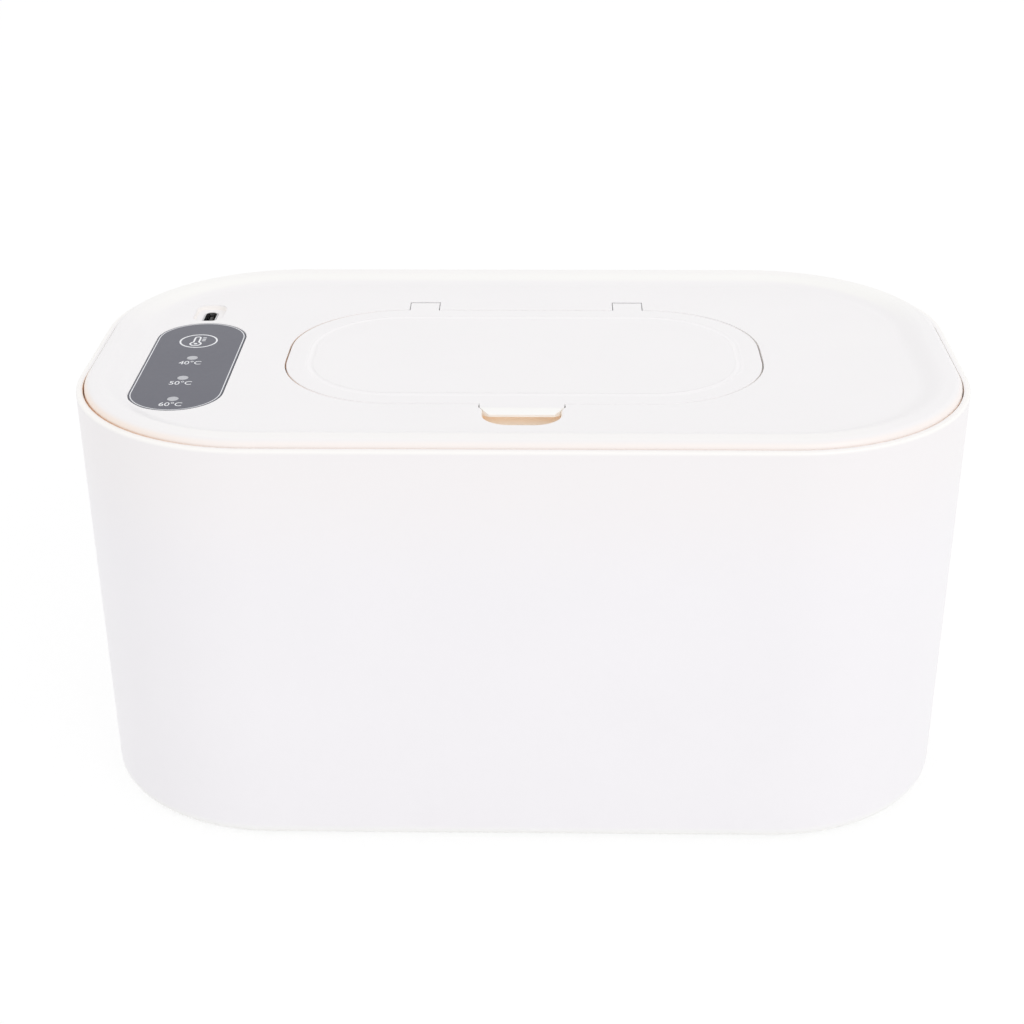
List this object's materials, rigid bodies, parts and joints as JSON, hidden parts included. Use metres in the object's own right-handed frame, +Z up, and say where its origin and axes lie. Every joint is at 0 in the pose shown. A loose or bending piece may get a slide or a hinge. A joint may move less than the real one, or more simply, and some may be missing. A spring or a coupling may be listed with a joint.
{
  "type": "wet wipe warmer",
  "caption": "Drafted box with a lift-off lid that holds the heater and touch panel, and a hinged cover over the dispensing mouth.",
  "frame": {"origin": "middle of the footprint, on the plane that the feet stand on", "axes": "+X along the long side with the control panel at the low X end, -Y the front with the finger tab, +Z up"},
  "size_m": [0.2, 0.118, 0.0983],
  "materials": {
    "body_plastic": "smooth satin-gloss white moulding",
    "lid_plastic": "smooth satin-gloss white moulding",
    "flip_plastic": "smooth satin-gloss white moulding",
    "base_plastic": "fine-textured white moulding",
    "foot_rubber": "matt soft pads",
    "gasket_silicone": "matt translucent silicone",
    "insert_silicone": "soft satin silicone",
    "screw_steel": "zinc plated",
    "pin_steel": "bright drawn wire",
    "panel_film": "printed film with a soft gloss",
    "guide_clear": "clear moulded rods",
    "led_resin": "cast resin",
    "board_laminate": "green solder mask",
    "chip_resin": "black moulded resin",
    "capacitor_body": "fired ceramic",
    "socket_steel": "nickel plated sheet",
    "socket_resin": "black moulded resin",
    "contact_gold": "gold plated strips",
    "pad_felt": "pressed felt",
    "heater_film": "amber polyimide film",
    "plate_aluminium": "rolled sheet",
    "fuse_body": "glazed ceramic",
    "lead_red": "soft wire insulation",
    "lead_black": "soft wire insulation"
  },
  "bodies": {
    "base": {"body_shell": "body_plastic", "rubber_feet": "foot_rubber"},
    "lid": {"lid_cover": "lid_plastic", "lid_base": "base_plastic", "lid_gasket": "gasket_silicone", "lid_screws": "screw_steel", "dispensing_insert": "insert_silicone", "hinge_pin_left": "pin_steel", "hinge_pin_right": "pin_steel", "panel_film": "panel_film", "light_guides": "guide_clear", "indicator_leds": "led_resin", "touch_spring": "pin_steel", "control_board": "board_laminate", "board_screws": "screw_steel", "controller_chip": "chip_resin", "power_transistor": "chip_resin", "board_capacitors": "capacitor_body", "socket_shell": "socket_steel", "socket_core": "socket_resin", "socket_contacts": "contact_gold", "insulation_pad": "pad_felt", "heating_film": "heater_film", "heating_plate": "plate_aluminium", "plate_screws": "screw_steel", "thermistor": "chip_resin", "thermal_fuse": "fuse_body", "heater_leads": "lead_red", "sensor_leads": "lead_black"},
    "flip": {"flip_lid": "flip_plastic", "flip_seal": "gasket_silicone"}
  },
  "joints": [
    {"name": "lid_lift", "type": "slide", "parent": "base", "child": "lid", "axis": [0, 0, 1], "range_m": [0, 0.05]},
    {"name": "cover_hinge", "type": "hinge", "parent": "lid", "child": "flip", "pos_m": [0.0003, 0.0327, 0.0945], "axis": [-1, 0, 0], "range_deg": [0, 98]}
  ]
}
